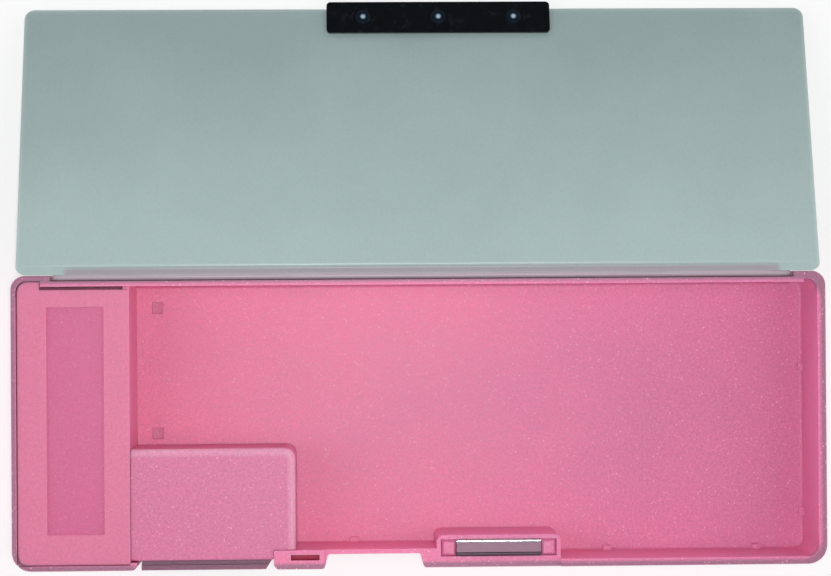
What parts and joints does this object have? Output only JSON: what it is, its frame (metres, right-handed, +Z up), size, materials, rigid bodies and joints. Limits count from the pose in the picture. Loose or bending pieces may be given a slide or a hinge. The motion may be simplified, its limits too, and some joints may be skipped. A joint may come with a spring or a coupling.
{
  "type": "pencil box",
  "caption": "Long shallow moulded box with a padded flap lid on a vinyl hinge, a magnetic front catch, a covered end cell and a small pull-out drawer, for pencils or sewing notions.",
  "frame": {"origin": "centre of the tray's underside, on the table", "axes": "+X along the box towards the main bay's free end, +Y towards the hinge, +Z up"},
  "size_m": [0.23, 0.1625, 0.0261],
  "materials": {
    "pink_moulding": "satin, slightly translucent",
    "mauve_moulding": "satin",
    "magnet": "ground ferrite, stood in for by cast iron",
    "plated_steel": "nickel plate",
    "vinyl": "soft satin vinyl film",
    "board": "raw grey board",
    "foam": "open foam",
    "black_enamel": "gloss black enamel"
  },
  "bodies": {
    "tray": {"tray_shell": "pink_moulding", "end_cover": "pink_moulding", "drawer_housing": "pink_moulding", "drawer_catch": "pink_moulding", "magnet_holder": "pink_moulding", "magnet_bar": "magnet", "front_pole_strip": "plated_steel", "rear_pole_strip": "plated_steel", "hinge_strip": "vinyl"},
    "lid": {"lid_inner_skin": "vinyl", "lid_board": "board", "lid_foam": "foam", "lid_outer_skin": "vinyl", "striker_plate": "black_enamel", "striker_rivets": "black_enamel", "rivet_washers": "plated_steel"},
    "drawer": {"drawer_tray": "pink_moulding", "drawer_front": "mauve_moulding"}
  },
  "joints": [
    {"name": "lid_hinge", "type": "hinge", "parent": "tray", "child": "lid", "pos_m": [0, 0.0415, 0.0262], "axis": [1, 0, 0], "range_deg": [0, 196.39]},
    {"name": "drawer_slide", "type": "slide", "parent": "tray", "child": "drawer", "axis": [0, -1, 0], "range_m": [0, 0.023]}
  ]
}
